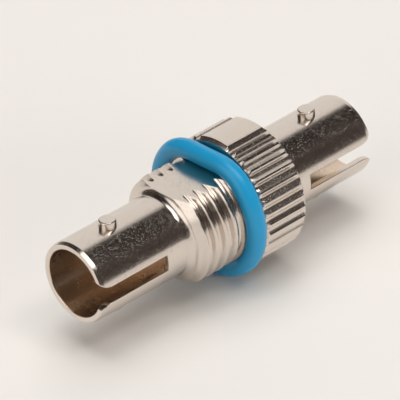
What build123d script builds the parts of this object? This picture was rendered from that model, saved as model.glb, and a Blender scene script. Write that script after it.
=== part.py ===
from build123d import *
from math import atan2, cos, radians, sin, sqrt
import os

# Bayonet fibre adapter: two keyed sockets on one axis, a threaded and flatted
# section behind the front socket, and a knurled collar that stops at the panel.
# X runs along the adapter with the front socket at -X. The lugs and the flat
# face +Z, the key slots face -Y. The two ferrules meet at the origin.

# Sockets
overall_length = 29.88
barrel_diameter = 7.0
socket_diameter = 5.87
socket_depth = 7.25
mouth_taper_height = 0.11
mouth_taper_length = 0.36
mouth_inner_chamfer = 0.1

# Key slots, open at the mouth with a curved lead-in on both sides
key_slot_width = 1.42
key_slot_length = 7.03
key_slot_lead_radius = 1.7
key_slot_lead_length = 1.2

# Bayonet lugs, pressed into the barrel walls
lug_diameter = 1.45
lug_span = 8.36
lug_from_middle = 10.99
lug_edge_chamfer = 0.08

# Threaded section with two flats, then a plain neck for the ring
thread_diameter = 9.525
thread_front = -4.75
thread_rear = -0.68
thread_rear_slope = 0.15
shoulder_front = -5.2
shoulder_diameter = 8.1
shoulder_foot = 0.4
flat_height = 3.86
neck_diameter = 8.4

# Knurled collar
collar_diameter = 11.42
collar_front = 0.96
collar_rear = 5.39
collar_chamfer = 0.28
knurl_count = 36
knurl_groove_radius = 0.5
knurl_groove_depth = 0.2
knurl_left_out_slot_side = 1
knurl_left_out_far_side = 2

# Sleeve chamber between the two webs
ferrule_diameter = 2.5
sleeve_wall = 0.35
sleeve_length = 11.4
sleeve_slit = 0.5
sleeve_end_chamfer = 0.12
sleeve_side_clearance = 0.12
sleeve_end_clearance = 0.1
web_hole_clearance = 0.2
spigot_diameter = 6.4
spigot_front = 0.0

# Ring of round section, lying on the upper flat and loose round the rest of the neck
ring_section = 1.65
ring_diameter = 10.82
ring_side_shift = 0.18
ring_collar_gap = 0.03
ring_lean_degrees = 1.8
ring_tip_degrees = 0.7
ring_flat_rise = 0.07
ring_bend_radius = 2.7

# Radii and positions that follow from the sizes above
half_length = overall_length / 2
barrel_r = barrel_diameter / 2
socket_r = socket_diameter / 2
thread_r = thread_diameter / 2
shoulder_r = shoulder_diameter / 2
neck_r = neck_diameter / 2
collar_r = collar_diameter / 2
lug_r = lug_diameter / 2
spigot_r = spigot_diameter / 2
sleeve_inner_r = ferrule_diameter / 2
sleeve_outer_r = sleeve_inner_r + sleeve_wall
chamber_r = sleeve_outer_r + sleeve_side_clearance
chamber_half = sleeve_length / 2 + sleeve_end_clearance
web_hole_r = sleeve_inner_r + web_hole_clearance
socket_floor = half_length - socket_depth
slot_end = half_length - key_slot_length
ring_r = ring_diameter / 2

# How far a cutter runs past the faces it opens
past = 1.0


def turned(points):
    """Solid made by turning a closed outline of (x, radius) points about the X axis."""
    outline = Polyline(*points, close=True)
    return revolve(make_face(outline), Axis.X, 360)


def key_slot():
    """Cutter for the front key slot: a parallel slot whose sides curve apart at the mouth."""
    half_w = key_slot_width / 2
    lead_x = -half_length + key_slot_lead_length
    run = sqrt(key_slot_lead_radius**2 - key_slot_lead_length**2)
    flare = half_w + key_slot_lead_radius - run
    middle_x = -half_length + key_slot_lead_length / 2
    middle_run = sqrt(key_slot_lead_radius**2 - (key_slot_lead_length / 2) ** 2)
    middle_flare = half_w + key_slot_lead_radius - middle_run
    upper_lead = ThreePointArc((lead_x, half_w), (middle_x, middle_flare), (-half_length, flare))
    front = Polyline(
        (-half_length, flare),
        (-half_length - past, flare),
        (-half_length - past, -flare),
        (-half_length, -flare),
    )
    lower_lead = ThreePointArc((-half_length, -flare), (middle_x, -middle_flare), (lead_x, -half_w))
    rear = Polyline((lead_x, -half_w), (-slot_end, -half_w), (-slot_end, half_w), (lead_x, half_w))
    face = make_face(Curve() + [upper_lead, front, lower_lead, rear])
    upright = Plane.XZ * face
    return extrude(upright, amount=barrel_r + past, dir=(0, -1, 0))


def mirrored_end(shape):
    """The same shape at the rear end, as a mirror image across the middle of the adapter."""
    return mirror(shape, about=Plane.YZ)


def lug(side, end):
    """Round lug from the socket's wall out past the barrel, its outer edge broken."""
    height = lug_span / 2
    pin = Cylinder(lug_r, height, align=(Align.CENTER, Align.CENTER, Align.MIN))
    pin = chamfer(pin.edges().sort_by(Axis.Z)[-1], lug_edge_chamfer)
    if side < 0:
        pin = pin.rotate(Axis.X, 180)
    pin = Pos(end * lug_from_middle, 0, 0) * pin
    inside = Cylinder(socket_r, 4 * lug_r, rotation=(0, 90, 0))
    return pin - Pos(end * lug_from_middle, 0, 0) * inside


def lug_hole(end):
    """Hole through both barrel walls for a pair of lugs."""
    return Pos(end * lug_from_middle, 0, 0) * Cylinder(lug_r, 2 * barrel_r + past)


def ring_path():
    """Centre line of the ring: an arc round the neck, closed by a straight run over the upper flat."""
    top = flat_height + ring_flat_rise + ring_section / 2
    bend = ring_bend_radius
    bend_z = top - bend
    bend_y = sqrt((ring_r - bend) ** 2 - bend_z**2)
    far = ring_r / (ring_r - bend)
    side_y = bend_y * far
    side_z = bend_z * far
    half_turn = atan2(bend_y, bend_z) / 2
    middle_y = bend_y + bend * sin(half_turn)
    middle_z = bend_z + bend * cos(half_turn)
    straight = Line((0, -bend_y, top), (0, bend_y, top))
    right_bend = ThreePointArc((0, bend_y, top), (0, middle_y, middle_z), (0, side_y, side_z))
    around = ThreePointArc((0, side_y, side_z), (0, 0, -ring_r), (0, -side_y, side_z))
    left_bend = ThreePointArc((0, -side_y, side_z), (0, -middle_y, middle_z), (0, -bend_y, top))
    return straight, Wire([straight, right_bend, around, left_bend])


# Front body: socket, shoulder, threaded section, neck and collar turned from one bar.
# The foot of the shoulder runs down to the barrel in a short cone.
front_body = turned(
    [
        (-half_length, socket_r + mouth_inner_chamfer),
        (-half_length, barrel_r - mouth_taper_height),
        (-half_length + mouth_taper_length, barrel_r),
        (shoulder_front - shoulder_foot, barrel_r),
        (shoulder_front, barrel_r + shoulder_foot),
        (shoulder_front, shoulder_r),
        (thread_front, thread_r),
        (thread_rear, thread_r),
        (thread_rear + thread_rear_slope, neck_r),
        (collar_front, neck_r),
        (collar_front, collar_r - collar_chamfer),
        (collar_front + collar_chamfer, collar_r),
        (collar_rear - collar_chamfer, collar_r),
        (collar_rear, collar_r - collar_chamfer),
        (collar_rear, spigot_r),
        (spigot_front, spigot_r),
        (spigot_front, chamber_r),
        (-chamber_half, chamber_r),
        (-chamber_half, web_hole_r),
        (-socket_floor, web_hole_r),
        (-socket_floor, socket_r),
        (-half_length + mouth_inner_chamfer, socket_r),
    ]
)

# The threaded section is left plain at the diameter of the crests. Its two flats run along
# it and the neck up to the collar.
flat_length = collar_front - shoulder_front + past
upper_cut = Box(flat_length, 2 * thread_r, thread_r, align=(Align.MAX, Align.CENTER, Align.MIN))
upper_cut = Pos(collar_front, 0, flat_height) * upper_cut
front_body = front_body - upper_cut - mirror(upper_cut, about=Plane.XY)

# Straight knurl: round-bottomed grooves all round, left out where the collar is smooth on top.
groove_centre_r = collar_r + knurl_groove_radius - knurl_groove_depth
groove_length = collar_rear - collar_front + 2 * past
groove = Cylinder(knurl_groove_radius, groove_length, rotation=(0, 90, 0))
groove = Pos((collar_front + collar_rear) / 2, 0, groove_centre_r) * groove
pitch = 360 / knurl_count
grooves = []
for index in range(knurl_left_out_slot_side, knurl_count - knurl_left_out_far_side):
    grooves.append(groove.rotate(Axis.X, (index + 0.5) * pitch))
front_body = front_body - grooves
front_body = front_body - key_slot() - lug_hole(-1)

# Rear barrel: the second socket, with a spigot pressed into the back of the collar.
rear_barrel = turned(
    [
        (spigot_front, chamber_r),
        (spigot_front, spigot_r),
        (collar_rear, spigot_r),
        (collar_rear, barrel_r),
        (half_length - mouth_taper_length, barrel_r),
        (half_length, barrel_r - mouth_taper_height),
        (half_length, socket_r + mouth_inner_chamfer),
        (half_length - mouth_inner_chamfer, socket_r),
        (socket_floor, socket_r),
        (socket_floor, web_hole_r),
        (chamber_half, web_hole_r),
        (chamber_half, chamber_r),
    ]
)
rear_barrel = rear_barrel - mirrored_end(key_slot()) - lug_hole(1)

# Split sleeve that lines the two ferrules up, its slit turned away from the key slots.
half_sleeve = sleeve_length / 2
alignment_sleeve = turned(
    [
        (-half_sleeve, sleeve_inner_r + sleeve_end_chamfer),
        (-half_sleeve, sleeve_outer_r),
        (half_sleeve, sleeve_outer_r),
        (half_sleeve, sleeve_inner_r + sleeve_end_chamfer),
        (half_sleeve - sleeve_end_chamfer, sleeve_inner_r),
        (-half_sleeve + sleeve_end_chamfer, sleeve_inner_r),
    ]
)
slit_side = (Align.CENTER, Align.MIN, Align.CENTER)
slit = Box(sleeve_length + past, 2 * sleeve_outer_r, sleeve_slit, align=slit_side)
alignment_sleeve = alignment_sleeve - slit

# Rubber ring, leaning against the collar on the side of the key slots.
start, path = ring_path()
section = Plane(origin=start @ 0.5, z_dir=start % 0.5) * Circle(ring_section / 2)
o_ring = sweep(section, path=path)
ring_reach = ring_r * sin(radians(ring_lean_degrees)) + ring_section / 2
o_ring = o_ring.rotate(Axis.Y, -ring_tip_degrees).rotate(Axis.Z, ring_lean_degrees)
o_ring = Pos(collar_front - ring_collar_gap - ring_reach, ring_side_shift, 0) * o_ring

nodes = {
    "front_body": front_body,
    "rear_barrel": rear_barrel,
    "alignment_sleeve": alignment_sleeve,
    "o_ring": o_ring,
    "front_lug_top": lug(1, -1),
    "front_lug_bottom": lug(-1, -1),
    "rear_lug_top": lug(1, 1),
    "rear_lug_bottom": lug(-1, 1),
}

os.makedirs("parts", exist_ok=True)
for name, shape in nodes.items():
    solids = shape.solids()
    assert len(solids) == 1, name
    solid = solids[0]
    solid.label = name
    export_step(solid, f"parts/{name}.step")
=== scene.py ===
import bmesh
import bpy
import numpy as np
from mathutils import Matrix, Vector


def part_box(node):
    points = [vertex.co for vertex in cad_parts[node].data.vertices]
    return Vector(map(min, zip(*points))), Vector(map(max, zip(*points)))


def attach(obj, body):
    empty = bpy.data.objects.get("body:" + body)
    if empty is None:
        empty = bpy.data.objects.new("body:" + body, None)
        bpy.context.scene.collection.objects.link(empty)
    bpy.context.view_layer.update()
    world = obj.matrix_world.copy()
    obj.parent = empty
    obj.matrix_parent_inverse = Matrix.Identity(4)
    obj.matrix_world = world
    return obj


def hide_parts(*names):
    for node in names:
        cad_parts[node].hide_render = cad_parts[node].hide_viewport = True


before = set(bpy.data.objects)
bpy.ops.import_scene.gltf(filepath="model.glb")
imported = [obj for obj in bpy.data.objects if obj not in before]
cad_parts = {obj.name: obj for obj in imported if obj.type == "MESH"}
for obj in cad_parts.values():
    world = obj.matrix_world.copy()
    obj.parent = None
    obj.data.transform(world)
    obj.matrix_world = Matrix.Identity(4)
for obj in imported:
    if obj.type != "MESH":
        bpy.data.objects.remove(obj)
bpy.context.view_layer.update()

# Front body: one brass turning, nickel plated, with the front socket, the shoulder, the
# panel thread with its two flats, the neck and the knurled stop collar. It is turned and
# thread-cut, milled flat above and below, slotted for the key, and bored for the spigot.

# Sizes of the part are in millimetres, and angles round its axis in degrees.
MM = 0.001
front_high = np.array(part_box("front_body")[1]) / MM
rear_high = np.array(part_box("rear_barrel")[1]) / MM

mouth_x = rear_high[0]
collar_rear = front_high[0]
collar_r = front_high[1]
barrel_r = rear_high[1]
socket_r = 2.935
socket_depth = 7.25
socket_floor_x = mouth_x - socket_depth
web_hole_r = 1.45
chamber_r = 1.72
chamber_x = 5.8
spigot_r = 3.2

slot_middle = 90.0
slot_half_width = 0.71
slot_length = 7.03
slot_end_x = mouth_x - slot_length
slot_edge = 0.06
slot_lead_radius = 1.7
slot_lead_length = 1.2
slot_tip_radius = 0.25
mouth_taper_height = 0.11
mouth_taper_length = 0.36
mouth_rim_edge = 0.03
mouth_inner_edge = 0.1

foot_radius = 0.7
shoulder_x = -5.2
shoulder_r = 4.05
flat_height = 3.86
neck_r = 4.2
neck_x = -0.45
collar_front = 0.96
collar_chamfer = 0.28
collar_edge = 0.05

# A standard 60 degree thread of 24 to the inch, whose crest is an eighth of the pitch wide.
thread_front = -4.75
thread_rear = -0.58
thread_crest_r = 4.7625
thread_pitch = 25.4 / 24
thread_gap_half = thread_pitch * 7 / 16
thread_flank_slope = np.sqrt(3.0)
thread_root_round = 0.24
thread_gap_x = -4.38
thread_edge_softness = 0.03
thread_run_out = 0.16
thread_groove_end = thread_rear + 0.03
relief_x = -1.12
relief_round = 0.55

knurl_pitch = 10.0
knurl_groove_depth = 0.27
knurl_crest_half = 0.6
knurl_bottom = 4.2
knurl_edge_softness = 0.03
knurl_smooth_from = -20.0
knurl_smooth_to = 10.0

# Where the mesh has its rows and columns, closest where the surface turns fastest.
knurl_columns_in_pitch = [0.0, 0.6, 1.0, 1.6, 2.2, 2.9, 3.5, 4.2, 5.2, 6.2, 7.3, 8.4, 9.0, 9.4]
front_slot_column = 11.6
slot_spread = 60.0
slot_row_shares = [0.0, 0.03, 0.1, 0.25, 0.45, 0.65, 0.85]
slot_lead_rows = 9
slot_tip_rows = 7
slot_row_gap = 0.5
taper_row_gap = 0.8
barrel_row_x = -6.5
foot_rows = 10
thread_rows_from_gap = [0.05, 0.12, 0.19, 0.27, 0.36, 0.44, 0.487]
rim_x = [-1.15, -1.08, -1.0, -0.92, -0.84, -0.77, -0.71, -0.66]
rim_x += [-0.62, -0.6, -0.585, -0.57, -0.55, -0.52, -0.49, neck_x]
collar_rows = 7


def soft_min(a, b, softness):
    """The smaller of a and b, with a parabola of that height where they cross."""
    share = np.clip(0.5 + 0.5 * (b - a) / softness, 0.0, 1.0)
    return b + (a - b) * share - softness * share * (1.0 - share)


def knurl_columns():
    """Angles round the axis in degrees, from the top lug towards the key slots: fourteen to
    each knurl pitch, closest at the two sides of a crest."""
    crests = np.arange(0.0, 360.0, knurl_pitch)
    return (crests[:, None] + np.array(knurl_columns_in_pitch)).ravel()


def slot_columns(columns, from_middle):
    """The two columns that become the slot's sides, which are those nearest to the given
    angle from its middle, and which of all columns lie between them."""
    sides = (slot_middle - from_middle, slot_middle + from_middle)
    first, last = (int(np.argmin(np.abs(columns - side))) for side in sides)
    number = np.arange(len(columns))
    return first, last, (number >= first) & (number < last)


def edge_profile(outer_edge, inner_edge):
    """Across a barrel wall's free edge, from its outer face to its bore: how far each level
    stands back from the edge, and its radius. Both corners are quarter circles."""
    swing = np.radians(np.array([0.0, 22.5, 45.0, 67.5, 90.0]))
    back = np.concatenate([outer_edge * (1 - np.sin(swing)), inner_edge * (1 - np.cos(swing))])
    outer = barrel_r - outer_edge * (1 - np.cos(swing))
    inner = socket_r + inner_edge * (1 - np.sin(swing))
    return back, np.concatenate([outer, inner])


def slot_side():
    """The key slot's side in plan, from its closed end to the mouth: place along the axis,
    half width, direction into the wall, and how far each point belongs to the mouth. A
    straight run, then an arc that leads away, then a small arc round the finger's tip."""
    turn = np.arcsin((slot_lead_length - slot_tip_radius) / (slot_lead_radius - slot_tip_radius))
    lead_x = mouth_x - slot_lead_length
    straight = slot_end_x + (lead_x - slot_end_x) * np.array(slot_row_shares)
    taper = np.arcsin((slot_lead_length - mouth_taper_length) / (slot_lead_radius - slot_edge))
    at_taper = taper + np.radians([-taper_row_gap, taper_row_gap])
    lead = np.sort(np.append(turn * np.linspace(0.0, 1.0, slot_lead_rows), at_taper))
    tip = turn + (np.pi / 2 - turn) * np.linspace(0.0, 1.0, slot_tip_rows)[1:]
    tip_x = lead_x + (slot_lead_radius - slot_tip_radius) * np.sin(turn)
    tip_half = slot_half_width + slot_lead_radius
    tip_half -= (slot_lead_radius - slot_tip_radius) * np.cos(turn)
    lead_half = slot_half_width + slot_lead_radius * (1 - np.cos(lead))
    angle = np.concatenate([0 * straight, lead, tip])
    x = [straight, lead_x + slot_lead_radius * np.sin(lead), tip_x + slot_tip_radius * np.sin(tip)]
    half = [0 * straight + slot_half_width, lead_half, tip_half - slot_tip_radius * np.cos(tip)]
    mouth = np.clip((angle - turn) / (np.pi / 2 - turn), 0.0, 1.0)
    mouth = mouth * mouth * (3 - 2 * mouth)
    return np.concatenate(x), np.concatenate(half), -np.sin(angle), np.cos(angle), mouth


def spread_columns(columns, first, half_angle):
    """Column angles for rows whose slot has the given half angle: columns inside the slot
    share it evenly, those beside it share the rest of its spread, others stay."""
    nominal = slot_middle - columns[first]
    away = columns - slot_middle
    size = np.abs(away)
    inside = size / nominal * half_angle
    beside = half_angle + (size - nominal) * (slot_spread - half_angle) / (slot_spread - nominal)
    moved = np.where(size <= nominal, inside, np.where(size < slot_spread, beside, size))
    return slot_middle + np.sign(away) * moved


def to_points(x, r, angle):
    """Points from place along the axis, radius, and angle from the top towards the slots."""
    turn = np.radians(angle)
    x, r, turn = np.broadcast_arrays(x, r, turn)
    return np.stack([x, -r * np.sin(turn), r * np.cos(turn)], axis=-1)


def barrel_end(columns, first):
    """The free end of a barrel as points on a grid: levels across the wall, rows from the
    slot's closed end to the mouth, columns round the axis. Each level is the slot's side and
    the mouth's line set back into the wall by the edge profile, as is the slot's closed end.
    The outer levels come down with the slight taper that is turned on the mouth."""
    side_x, side_half, into_x, into_half, mouth = slot_side()
    back_slot, radius_slot = edge_profile(slot_edge, slot_edge)
    back_mouth, radius_mouth = edge_profile(mouth_rim_edge, mouth_inner_edge)
    back = back_slot[:, None] + (back_mouth - back_slot)[:, None] * mouth
    radius = radius_slot[:, None] + (radius_mouth - radius_slot)[:, None] * mouth
    x = side_x + into_x * back
    half = side_half + into_half * back
    x[:, 0] -= back[:, 0]
    outside = len(x) // 2
    along = (x[:outside] - mouth_x + mouth_taper_length) / mouth_taper_length
    radius[:outside] -= mouth_taper_height * np.clip(along, 0.0, 1.0)
    half_angle = np.degrees(np.arcsin(half / radius))[:, :, None]
    angle = spread_columns(columns, first, half_angle)
    return to_points(x[:, :, None], radius[:, :, None], angle)


def grid_faces(rows, count, closed=True, keep=None):
    """Corner numbers of a grid's four-sided faces: from column to column, then to the next
    row. A closed grid joins its last column to its first, and keep says which faces stay."""
    across = np.arange(count if closed else count - 1)
    row, column = np.meshgrid(np.arange(rows - 1) * count, across, indexing="ij")
    after = (column + 1) % count
    above = row + count
    faces = np.stack([row + column, row + after, above + after, above + column], axis=-1)
    return faces.reshape(-1, 4) if keep is None else faces[keep]


def slotted_faces(rows, in_slot, at_start=0, at_end=0):
    """Faces between rows round the axis, less those inside the slot: as many rows of them
    from the grid's start and from its end as are given."""
    keep = np.ones((len(rows) - 1, len(in_slot)), bool)
    keep[:at_start, in_slot] = False
    keep[len(keep) - at_end:, in_slot] = False
    return grid_faces(*rows.shape[:2], keep=keep)


def barrel_rim(end, first, last):
    """The wall's free edge: a closed line over the slot's end, along its far side, round the
    mouth and back along its near side, joined from level to level."""
    count = end.shape[2]
    round_mouth = np.arange(last, first + count) % count
    over_end = end[:, 0, first:last]
    line = [over_end, end[:, :-1, last], end[:, -1, round_mouth], end[:, :0:-1, first]]
    line = np.concatenate(line, axis=1)
    return line, grid_faces(line.shape[0], line.shape[1])


merge_within = 0.0002
crisp_degrees = 30.0


def make_piece(name, grids):
    """A mesh object from grids of points in millimetres and their faces. Points that fall
    together are merged, loose ones go, faces are turned outwards, and edges that turn by
    more than crisp_degrees stay crisp."""
    point_grids, face_grids = zip(*grids)
    sizes = [grid.size // 3 for grid in point_grids]
    starts = np.concatenate([[0], np.cumsum(sizes)[:-1]])
    points = np.concatenate([grid.reshape(-1, 3) for grid in point_grids]) * MM
    faces = np.concatenate([corners + start for corners, start in zip(face_grids, starts)])
    mesh = bpy.data.meshes.new(name)
    mesh.from_pydata(points, [], faces)
    shape = bmesh.new()
    shape.from_mesh(mesh)
    bmesh.ops.remove_doubles(shape, verts=shape.verts, dist=merge_within * MM)
    loose = [v for v in shape.verts if not v.link_faces]
    bmesh.ops.delete(shape, geom=loose, context="VERTS")
    bmesh.ops.recalc_face_normals(shape, faces=shape.faces)
    shape.to_mesh(mesh)
    shape.free()
    mesh.shade_smooth()
    mesh.set_sharp_from_angle(angle=np.radians(crisp_degrees))
    piece = bpy.data.objects.new(name, mesh)
    bpy.context.scene.collection.objects.link(piece)
    return piece


def thread_radius(x, angle):
    """Radius over the threaded section: a chamfered cylinder that slopes down to the neck,
    less a right-handed groove with straight 60 degree flanks and a round root, and less the
    hollow turned in front of the last rim: a quarter circle, with a flank before it."""
    blank = np.interp(x, [shoulder_x, thread_front, thread_rear, neck_x],
                      [shoulder_r, thread_crest_r, thread_crest_r, neck_r])
    turns = (x - thread_gap_x) / thread_pitch - angle / 360.0
    away = np.abs(turns - np.round(turns)) * thread_pitch
    flank = (thread_gap_half - away) * thread_flank_slope
    root = np.sqrt(np.clip(thread_root_round**2 - away**2, 0.0, None))
    root += thread_gap_half * thread_flank_slope - 2 * thread_root_round
    depth = np.where(away < thread_root_round * thread_flank_slope / 2, root, flank)
    run_out = np.clip((thread_groove_end - x) / thread_run_out, 0.0, 1.0)
    threaded = soft_min(blank, thread_crest_r - depth * run_out, thread_edge_softness)
    beyond = np.clip(x - relief_x, 0.0, relief_round)
    relief = neck_r + relief_round - np.sqrt(relief_round**2 - beyond**2)
    relief += thread_flank_slope * np.clip(relief_x - x, 0.0, None)
    return soft_min(threaded, relief, thread_edge_softness)


def mill_flat(piece, side):
    """Mill one flat from the shoulder to the collar: faces are split at the flat's plane,
    those beyond it go, and two new faces close the cut, the flat and the bared part of the
    collar's front. The flat's own edges stay crisp."""
    shape = bmesh.new()
    shape.from_mesh(piece.data)
    height = flat_height * MM
    level = side * height
    stop = collar_front * MM
    near = 1e-8
    ahead = [f for f in shape.faces if min(v.co.x for v in f.verts) < stop - near]
    ahead = [f for f in ahead if max(v.co.z * side for v in f.verts) > height - near]
    parts = list(dict.fromkeys(part for f in ahead for part in (f, *f.edges, *f.verts)))
    plane = {"plane_co": (0, 0, level), "plane_no": (0, 0, side)}
    bmesh.ops.bisect_plane(shape, geom=parts, dist=near, **plane)
    beyond = [f for f in shape.faces if f.calc_center_median().z * side > height + near]
    beyond = [f for f in beyond if f.calc_center_median().x < stop - near]
    bmesh.ops.delete(shape, geom=beyond, context="FACES")
    rim = [e for e in shape.edges if e.is_boundary]
    ends = [v for v in dict.fromkeys(v for e in rim for v in e.verts) if abs(v.co.z - level) < near]
    chord = shape.edges.new([v for v in ends if abs(v.co.x - stop) < near])
    level_rim = [e for e in rim if all(abs(v.co.z - level) < near for v in e.verts)]
    collar_rim = [e for e in rim if e not in level_rim]
    bmesh.ops.edgeloop_fill(shape, edges=level_rim + [chord])
    bmesh.ops.edgeloop_fill(shape, edges=collar_rim + [chord])
    bmesh.ops.recalc_face_normals(shape, faces=shape.faces)
    shape.to_mesh(piece.data)
    shape.free()
    piece.data.shade_smooth()
    piece.data.set_sharp_from_angle(angle=np.radians(crisp_degrees))
    places = [v.co for v in piece.data.vertices]
    on_flat = [abs(abs(co.z) - height) < near and co.x < stop + near for co in places]
    for edge in piece.data.edges:
        if all(on_flat[corner] for corner in edge.vertices):
            edge.use_edge_sharp = True


def thread_section(columns):
    """The threaded section as a grid whose rows run along the thread's own helix, so that
    each crest edge follows a row. Rows stop at the section's two ends."""
    away = np.array(thread_rows_from_gap)
    one = np.concatenate([-away[::-1], away, [thread_pitch / 2]])
    first = int(np.floor((shoulder_x - thread_gap_x) / thread_pitch)) - 2
    last = int(np.ceil((rim_x[0] - thread_gap_x) / thread_pitch)) + 1
    rows = (thread_gap_x + np.arange(first, last)[:, None] * thread_pitch + one).ravel()
    angle = np.append(columns, columns[0] + 360.0)
    x = np.clip(rows[:, None] + thread_pitch * angle / 360.0, shoulder_x, rim_x[0])
    inside = (x[1:] > shoulder_x) & (x[:-1] < rim_x[0])
    used = inside[:, 1:] | inside[:, :-1]
    points = to_points(x, thread_radius(x, angle), angle)
    return points, grid_faces(*x.shape, closed=False, keep=used)


def rounded_line(corners, radius, steps=3):
    """An outline of straight runs with each inner corner rounded by an arc of the radius. The
    arc's centre lies on the line that halves the corner, and its points are evenly spaced."""
    corners = np.array(corners, float)
    parts = [corners[:1]]
    for before, corner, after in zip(corners, corners[1:], corners[2:]):
        one = (before - corner) / np.linalg.norm(before - corner)
        two = (after - corner) / np.linalg.norm(after - corner)
        half = np.arccos(np.clip(one @ two, -1.0, 1.0)) / 2
        middle = corner + (one + two) / np.linalg.norm(one + two) * radius / np.sin(half)
        start = corner + one * radius / np.tan(half) - middle
        end = corner + two * radius / np.tan(half) - middle
        sweep = np.arccos(np.clip(start @ end / radius**2, -1.0, 1.0))
        share = np.linspace(0.0, 1.0, steps + 1)[:, None]
        arc = (start * np.sin((1 - share) * sweep) + end * np.sin(share * sweep)) / np.sin(sweep)
        parts.append(middle + arc)
    parts.append(corners[-1:])
    return np.concatenate(parts)


def knurl_radius(angle):
    """Radius of the knurl: one groove to a pitch, with a steep side that follows
    fall * fall * (3 - 2 * fall) and a hollow slope of 1 - rise * rise back up to the next
    crest. Over the top it is wider than the collar, so that a strip stays smooth there."""
    off = angle % knurl_pitch
    fall = np.clip((off - knurl_crest_half) / (knurl_bottom - knurl_crest_half), 0.0, 1.0)
    rise = np.clip((off - knurl_bottom) / (knurl_pitch - knurl_crest_half - knurl_bottom), 0.0, 1.0)
    r = collar_r - knurl_groove_depth * fall * fall * (3 - 2 * fall) * (1 - rise * rise)
    on_top = (angle < knurl_smooth_to) | (angle > 360.0 + knurl_smooth_from)
    return np.where(on_top, 2 * collar_r, r)


def turned_rows(line, columns):
    """Rings of points from an outline of (place along the axis, radius)."""
    line = np.array(line, float)
    return to_points(line[:, 0:1], line[:, 1:2], columns[None, :])


def front_body():
    """The whole front body: rows from the mouth over the outside to the back of the collar,
    then through the bore to the mouth again, and the wall's free edge to close it."""
    columns = knurl_columns()
    first, last, in_slot = slot_columns(columns, front_slot_column)
    end = barrel_end(columns, first) * np.array([-1.0, 1.0, 1.0])
    foot_end = np.arccos(1 - (shoulder_r - barrel_r) / foot_radius)
    foot = np.linspace(0.0, foot_end, foot_rows)
    foot_x = shoulder_x + foot_radius * (np.sin(foot) - np.sin(foot_end))
    foot_r = barrel_r + foot_radius * (1 - np.cos(foot))
    plain = [(slot_row_gap - slot_end_x, barrel_r), (barrel_row_x, barrel_r)]
    rise = plain + list(zip(foot_x, foot_r))
    before = np.concatenate([end[0, ::-1], turned_rows(rise, columns)])
    side = [
        (collar_front, neck_r),
        (collar_front, collar_r - collar_chamfer),
        (collar_front + collar_chamfer, collar_r),
        (collar_rear - collar_chamfer, collar_r),
        (collar_rear, collar_r - collar_chamfer),
        (collar_rear, spigot_r),
    ]
    side = rounded_line(side, collar_edge)
    inset = 2 * collar_chamfer
    middle = np.linspace(collar_front + inset, collar_rear - inset, collar_rows)
    half_way = len(side) // 2
    side = np.concatenate([side[:half_way], [(x, collar_r) for x in middle], side[half_way:]])
    collar = soft_min(side[:, 1:2], knurl_radius(columns)[None, :], knurl_edge_softness)
    collar = to_points(side[:, 0:1], collar, columns[None, :])
    rim = np.array(rim_x)[:, None]
    neck = to_points(rim, thread_radius(rim, columns[None, :]), columns[None, :])
    bore = [
        (0.0, spigot_r),
        (0.0, chamber_r),
        (-chamber_x, chamber_r),
        (-chamber_x, web_hole_r),
        (-socket_floor_x, web_hole_r),
        (-socket_floor_x, socket_r),
    ]
    after = np.concatenate([neck, collar, turned_rows(bore, columns), end[-1]])
    slot_rows = end.shape[1] - 1
    outside = (before, slotted_faces(before, in_slot, at_start=slot_rows))
    inside = (after, slotted_faces(after, in_slot, at_end=slot_rows))
    edge = barrel_rim(end, first, last)
    return make_piece("front_turning", [outside, thread_section(columns), inside, edge])


front_turning = front_body()
for side in (1, -1):
    mill_flat(front_turning, side)


def linear(hex_colour):
    """An sRGB hex colour as linear red, green and blue with full alpha: a straight share near
    black, and a power of 2.4 above."""
    value = np.array([int(hex_colour[i:i + 2], 16) for i in (1, 3, 5)]) / 255
    value = np.where(value <= 0.04045, value / 12.92, ((value + 0.055) / 1.055) ** 2.4)
    return (*value.tolist(), 1.0)


def add_node(tree, kind, settings=None, inputs=None):
    """One node of a material, with its settings, its constant inputs and its links."""
    node = tree.nodes.new(kind)
    for key, value in (settings or {}).items():
        setattr(node, key, value)
    for key, value in (inputs or {}).items():
        if isinstance(value, bpy.types.NodeSocket):
            tree.links.new(value, node.inputs[key])
        else:
            node.inputs[key].default_value = value
    return node


def new_material(name):
    """An empty node material, and its tree, shader and object coordinates."""
    material = bpy.data.materials.new(name)
    material.use_nodes = True
    tree = material.node_tree
    place = add_node(tree, "ShaderNodeTexCoord").outputs["Object"]
    return material, tree, tree.nodes["Principled BSDF"], place


# Patterns of the plate, in cells to the millimetre and with depths in millimetres. Grain and
# pits are drawn coarse enough to show.
mottle_per_mm = 0.9
grain_per_mm = 4.5
pits_per_mm = 12.0
grain_depth = 0.02
pit_depth = 0.0045
duller_by = 0.08

# Distances from the axis between which one finish gives way to another.
into_bore = (3.03, 2.98)
onto_knurl = (5.3, 5.4)
below_crests = (5.7, 5.62)


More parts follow.
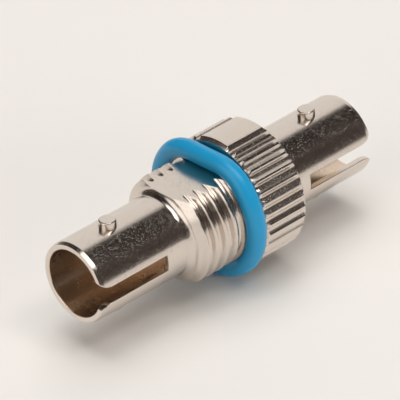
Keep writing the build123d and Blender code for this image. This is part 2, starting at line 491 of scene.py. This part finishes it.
def nickel_plate():
    """Bright nickel over turned brass. It mirrors its surroundings in a warm grey, slightly
    broken by a fine grain and by shallow pits. The bores are browner, and there and in the
    knurl's grooves it is duller. The distance from the axis says where a point lies."""
    material, tree, shader, place = new_material("bright_nickel_plate")
    shader.inputs["Metallic"].default_value = 1.0
    mottle, grain, specks = (
        add_node(
            tree,
            "ShaderNodeTexNoise",
            inputs={"Vector": place, "Scale": per_mm / MM, "Detail": detail},
        ).outputs["Fac"]
        for per_mm, detail in ((mottle_per_mm, 3.0), (grain_per_mm, 2.0), (pits_per_mm, 1.0))
    )
    across = add_node(
        tree,
        "ShaderNodeVectorMath",
        {"operation": "MULTIPLY"},
        {0: place, 1: (0.0, 1.0, 1.0)},
    )
    from_axis = add_node(
        tree,
        "ShaderNodeVectorMath",
        {"operation": "LENGTH"},
        {0: across.outputs["Vector"]},
    )
    distance = from_axis.outputs["Value"]
    inside, knurled, sunk = (
        add_node(
            tree,
            "ShaderNodeMapRange",
            inputs={"Value": distance, "From Min": start * MM, "From Max": full * MM},
        ).outputs["Result"]
        for start, full in (into_bore, onto_knurl, below_crests)
    )
    colour = add_node(
        tree,
        "ShaderNodeMix",
        {"data_type": "RGBA"},
        {"Factor": inside, "A": linear("#DDD3CA"), "B": linear("#E3D0BC")},
    )
    tree.links.new(colour.outputs["Result"], shader.inputs["Base Color"])
    rough = add_node(
        tree,
        "ShaderNodeMapRange",
        inputs={"Value": mottle, "To Min": 0.15, "To Max": 0.22},
    )
    in_groove = add_node(
        tree,
        "ShaderNodeMath",
        {"operation": "MULTIPLY"},
        {0: knurled, 1: sunk},
    )
    duller = add_node(
        tree,
        "ShaderNodeMath",
        {"operation": "ADD"},
        {0: inside, 1: in_groove.outputs["Value"]},
    )
    rougher = add_node(
        tree,
        "ShaderNodeMath",
        {"operation": "MULTIPLY_ADD"},
        {0: duller.outputs["Value"], 1: duller_by, 2: rough.outputs["Result"]},
    )
    tree.links.new(rougher.outputs["Value"], shader.inputs["Roughness"])
    grained = add_node(
        tree,
        "ShaderNodeBump",
        inputs={"Strength": 0.12, "Distance": grain_depth * MM, "Height": grain},
    )
    pits = add_node(
        tree,
        "ShaderNodeMapRange",
        {"interpolation_type": "SMOOTHSTEP"},
        {"Value": specks, "From Min": 0.61, "From Max": 0.74},
    )
    pitted = add_node(
        tree,
        "ShaderNodeBump",
        inputs={
            "Distance": pit_depth * MM,
            "Height": pits.outputs["Result"],
            "Normal": grained.outputs["Normal"],
        },
    )
    tree.links.new(pitted.outputs["Normal"], shader.inputs["Normal"])
    return material


nickel = nickel_plate()
front_turning.data.materials.append(nickel)
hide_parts("front_body")
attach(front_turning, "root")

# Rear barrel: the second keyed socket, a nickel-plated brass turning of its own. Its
# spigot is pressed into the back of the knurled collar, so only the barrel shows.

rear_columns = 288
rear_slot_column = 11.25
rear_row_gap = 0.6


def full_turn(count):
    """Evenly spaced angles in degrees, once round."""
    return np.linspace(0.0, 360.0, count + 1)[:-1]


def rear_barrel():
    """Rows from the mouth over the outside, in along the spigot, and out through the bore."""
    columns = full_turn(rear_columns)
    first, last, in_slot = slot_columns(columns, rear_slot_column)
    end = barrel_end(columns, first)
    line = [
        (slot_end_x - slot_row_gap, barrel_r),
        (collar_rear + rear_row_gap, barrel_r),
        (collar_rear, barrel_r),
        (collar_rear, spigot_r),
        (0.0, spigot_r),
        (0.0, chamber_r),
        (chamber_x, chamber_r),
        (chamber_x, web_hole_r),
        (socket_floor_x, web_hole_r),
        (socket_floor_x, socket_r),
    ]
    rows = np.concatenate([end[0, ::-1], turned_rows(line, columns), end[-1]])
    slot_rows = end.shape[1] - 1
    wall = (rows, slotted_faces(rows, in_slot, slot_rows, slot_rows))
    return make_piece("rear_turning", [wall, barrel_rim(end, first, last)])


rear_turning = rear_barrel()
rear_turning.data.materials.append(nickel)
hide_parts("rear_barrel")
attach(rear_turning, "root")

# Bayonet lugs: four short brass pins, nickel plated with the barrels. Each is pressed into
# the barrel wall and stands out of it, where a connector's coupling ring hooks on.

lug_edge = 0.1
lug_in_wall = 0.25
lug_columns = 64


def lug(node):
    """A pin turned about its own axis: flat top with a rounded edge, straight side, and a
    flat foot inside the barrel wall."""
    low, high = (np.array(corner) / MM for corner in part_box(node))
    middle = (low + high) / 2
    r = (high[0] - low[0]) / 2
    side = np.sign(middle[2])
    top = max(abs(low[2]), abs(high[2]))
    foot = barrel_r - lug_in_wall
    line = rounded_line([(top, 0.0), (top, r), (foot, r)], lug_edge, steps=5)
    line = np.concatenate([line, [(foot, 0.0)]])
    turn = np.radians(full_turn(lug_columns))
    height, radius = line[:, 0:1] + 0 * turn, line[:, 1:2]
    points = [middle[0] + radius * np.cos(turn), radius * np.sin(turn), side * height]
    points = np.stack(points, axis=-1)
    return make_piece(node + "_pin", [(points, grid_faces(*points.shape[:2]))])


for node in ("front_lug_top", "front_lug_bottom", "rear_lug_top", "rear_lug_bottom"):
    pin = lug(node)
    pin.data.materials.append(nickel)
    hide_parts(node)
    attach(pin, "root")

# Alignment sleeve: a split bronze tube in the chamber behind both sockets, which holds the
# two connectors' ferrules in line. It keeps its machined form and gets its metal.

streaks_along_per_mm = 0.06
streaks_across_per_mm = 2.5


def spring_bronze():
    """Phosphor bronze, drawn and polished inside: a smooth warm metal with faint streaks
    along the tube."""
    material, tree, shader, place = new_material("drawn_spring_bronze")
    shader.inputs["Metallic"].default_value = 1.0
    across = streaks_across_per_mm / MM
    drawn = add_node(
        tree,
        "ShaderNodeMapping",
        inputs={"Vector": place, "Scale": (streaks_along_per_mm / MM, across, across)},
    )
    streaks = add_node(
        tree,
        "ShaderNodeTexNoise",
        inputs={"Vector": drawn.outputs["Vector"], "Scale": 1.0, "Detail": 3.0},
    )
    colour = add_node(
        tree,
        "ShaderNodeMix",
        {"data_type": "RGBA"},
        {"Factor": streaks.outputs["Fac"], "A": linear("#C08A55"), "B": linear("#D6A46C")},
    )
    tree.links.new(colour.outputs["Result"], shader.inputs["Base Color"])
    shader.inputs["Roughness"].default_value = 0.28
    return material


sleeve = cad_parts["alignment_sleeve"]
sleeve.data.materials.clear()
sleeve.data.materials.append(spring_bronze())

# Sealing ring: a moulded blue rubber O-ring round the neck. It lies straight over the upper
# flat, hangs loose below, and is pushed up against the collar at a slight lean.

ring_section_r = 0.825
ring_bend_r = 3.4
ring_lean = np.radians(1.8)
ring_tip = np.radians(0.7)
ring_big_r = 5.41
ring_top = 4.755
ring_side_shift = 0.18
ring_collar_gap = 0.03
ring_line_points = 240
ring_section_points = 48


def ring_line():
    """The ring's centre line across the axis, evenly spaced: an arc round the neck, two
    smaller arcs, and a straight run over the flat. Gives y, z and the outward direction."""
    bend_z = ring_top - ring_bend_r
    bend_y = np.sqrt((ring_big_r - ring_bend_r) ** 2 - bend_z**2)
    open_half = np.arctan2(bend_y, bend_z)
    lengths = [bend_y, ring_bend_r * open_half, ring_big_r * (np.pi - open_half)]
    total = 2 * sum(lengths)
    place = np.linspace(0.0, total, ring_line_points + 1)[:-1]
    mirrored = place > total / 2
    near = np.where(mirrored, total - place, place)
    on_bend = np.clip((near - lengths[0]) / ring_bend_r, 0.0, open_half)
    on_big = np.clip((near - lengths[0] - lengths[1]) / ring_big_r, 0.0, None)
    angle = on_bend + on_big
    y = np.where(
        on_big > 0,
        ring_big_r * np.sin(angle),
        np.minimum(near, bend_y) + ring_bend_r * np.sin(on_bend),
    )
    z = np.where(on_big > 0, ring_big_r * np.cos(angle), bend_z + ring_bend_r * np.cos(on_bend))
    sign = np.where(mirrored, -1.0, 1.0)
    return sign * y, z, sign * np.sin(angle), np.cos(angle)


def turned_by(one, other, angle):
    """Two coordinates turned by an angle in their own plane."""
    return one * np.cos(angle) - other * np.sin(angle), one * np.sin(angle) + other * np.cos(angle)


def sealing_ring():
    """A round section carried along the ring's centre line, then tipped about the cross
    axis, leant about the upright axis and set against the collar."""
    y, z, out_y, out_z = ring_line()
    turn = np.radians(full_turn(ring_section_points))
    out = ring_section_r * np.cos(turn)
    x = np.broadcast_to(ring_section_r * np.sin(turn), (len(y), len(turn)))
    across = y[:, None] + out_y[:, None] * out
    up = z[:, None] + out_z[:, None] * out
    x, up = turned_by(x, up, ring_tip)
    x, across = turned_by(x, across, ring_lean)
    reach = ring_big_r * np.sin(ring_lean) + ring_section_r
    along = x + collar_front - ring_collar_gap - reach
    points = np.stack([along, across + ring_side_shift, up], axis=-1)
    points = np.concatenate([points, points[:1]])
    return make_piece("sealing_ring", [(points, grid_faces(*points.shape[:2]))])


cloud_per_mm = 0.35
skin_per_mm = 3.0
skin_depth = 0.03


def blue_rubber():
    """Blue nitrile rubber, moulded: an even mid blue with a soft wide shine and a slightly
    uneven skin."""
    material, tree, shader, place = new_material("moulded_blue_rubber")
    cloud, skin = (
        add_node(
            tree,
            "ShaderNodeTexNoise",
            inputs={"Vector": place, "Scale": per_mm / MM, "Detail": detail},
        ).outputs["Fac"]
        for per_mm, detail in ((cloud_per_mm, 3.0), (skin_per_mm, 2.0))
    )
    colour = add_node(
        tree,
        "ShaderNodeMix",
        {"data_type": "RGBA"},
        {"Factor": cloud, "A": linear("#1B8DBD"), "B": linear("#2499CA")},
    )
    tree.links.new(colour.outputs["Result"], shader.inputs["Base Color"])
    shader.inputs["Roughness"].default_value = 0.3
    shader.inputs["Specular IOR Level"].default_value = 0.4
    uneven = add_node(
        tree,
        "ShaderNodeBump",
        inputs={"Strength": 0.2, "Distance": skin_depth * MM, "Height": skin},
    )
    tree.links.new(uneven.outputs["Normal"], shader.inputs["Normal"])
    return material


ring = sealing_ring()
ring.data.materials.append(blue_rubber())
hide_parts("o_ring")
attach(ring, "root")

# Studio: a plain pale floor under the ring, a dark room with four lit panels that the metal
# mirrors, two soft boxes, and the camera. The camera itself sees a pale ground all round.

floor_size = 4.0
floor_z = -(ring_big_r + ring_section_r) * MM
pale_ground = linear("#E9E6E2")
bpy.ops.mesh.primitive_plane_add(size=floor_size, location=(0.0, 0.0, floor_z))
floor = bpy.context.object
floor.name = "floor"
paper = bpy.data.materials.new("pale_studio_paper")
paper.use_nodes = True
paper_shader = paper.node_tree.nodes["Principled BSDF"]
paper_shader.inputs["Base Color"].default_value = pale_ground
paper_shader.inputs["Roughness"].default_value = 0.9
floor.data.materials.append(paper)

world = bpy.data.worlds.new("studio_surround")
bpy.context.scene.world = world
world.use_nodes = True
sky = world.node_tree
background = sky.nodes["Background"]
direction = add_node(sky, "ShaderNodeTexCoord").outputs["Generated"]

# Each panel has its brightness and its edges. An edge is a direction and two cosines to it,
# with nothing of the panel at the first and all of it at the second.
right, back, up = (1.0, 0.0, 0.0), (0.0, 1.0, 0.0), (0.0, 0.0, 1.0)
dim_wall = linear("#443C39")
dark_ceiling = linear("#251F1D")
ceiling_edge = (up, 0.5, 0.75)
right_panel = (0.9, [(right, 0.3, 0.42), (back, 0.13, 0.34)])
left_panel = (1.4, [((-0.88, -0.02, 0.42), 0.86, 0.93)])
upper_panel = (2.0, [((0.02, -0.27, 0.96), 0.88, 0.93), (back, -0.7, -0.6), (right, 0.3, 0.2)])
small_lamp = (8.0, [((0.17, -0.48, 0.86), 0.988, 0.996)])


def laid_over(below, above, edges):
    """One colour laid over another within the given edges: a soft step across each edge, and
    the product of the steps as the share of the upper colour."""
    share = 1.0
    for toward, none, full in edges:
        cosine = add_node(
            sky,
            "ShaderNodeVectorMath",
            {"operation": "DOT_PRODUCT"},
            {0: direction, 1: Vector(toward).normalized()},
        )
        step = add_node(
            sky,
            "ShaderNodeMapRange",
            {"interpolation_type": "SMOOTHSTEP"},
            {"Value": cosine.outputs["Value"], "From Min": none, "From Max": full},
        )
        product = add_node(
            sky,
            "ShaderNodeMath",
            {"operation": "MULTIPLY"},
            {0: share, 1: step.outputs["Result"]},
        )
        share = product.outputs["Value"]
    mixed = add_node(
        sky,
        "ShaderNodeMix",
        {"data_type": "RGBA"},
        {"Factor": share, "A": below, "B": above},
    )
    return mixed.outputs["Result"]


def lit(brightness):
    """The colour of a lit panel of the given brightness."""
    return tuple(part * brightness for part in linear("#FFFBF6")[:3]) + (1.0,)


room = laid_over(dim_wall, dark_ceiling, [ceiling_edge])
for brightness, edges in (right_panel, left_panel, upper_panel, small_lamp):
    room = laid_over(room, lit(brightness), edges)
seen = add_node(sky, "ShaderNodeLightPath").outputs["Is Camera Ray"]
shown = add_node(
    sky,
    "ShaderNodeMix",
    {"data_type": "RGBA"},
    {"Factor": seen, "A": room, "B": pale_ground},
)
sky.links.new(shown.outputs["Result"], background.inputs["Color"])


def soft_lamp(name, place, size, power):
    """A square soft box that faces the object from the given place, in metres and watts. It
    lights the floor and the ring; the metal mirrors the lit panels of the surround."""
    lamp = bpy.data.lights.new(name, "AREA")
    lamp.size = size
    lamp.energy = power
    box = bpy.data.objects.new(name, lamp)
    box.location = place
    box.rotation_euler = (-Vector(place)).to_track_quat("-Z", "Y").to_euler()
    box.visible_glossy = False
    bpy.context.scene.collection.objects.link(box)


soft_lamp("overhead_softbox", place=(0.05, 0.1, 0.6), size=0.5, power=1.9)
soft_lamp("front_softbox", place=(0.1, -0.5, 0.1), size=0.3, power=1.2)

camera_place = Vector((-227.784, -258.509, 223.072)) * MM
camera_aim = Vector((-0.417, 0.79, 0.494)) * MM
camera_roll = np.radians(-3.83)
camera_focal = 457.8
camera_data = bpy.data.cameras.new("camera")
camera_data.sensor_width = 36.0
camera_data.lens = camera_focal
camera_data.clip_start = 0.01
camera_data.clip_end = 20.0
camera = bpy.data.objects.new("camera", camera_data)
look = (camera_aim - camera_place).to_track_quat("-Z", "Y").to_matrix().to_4x4()
camera.matrix_world = Matrix.Translation(camera_place) @ look @ Matrix.Rotation(camera_roll, 4, "Z")
bpy.context.scene.collection.objects.link(camera)
bpy.context.scene.camera = camera
bpy.context.scene.view_settings.view_transform = "Standard"
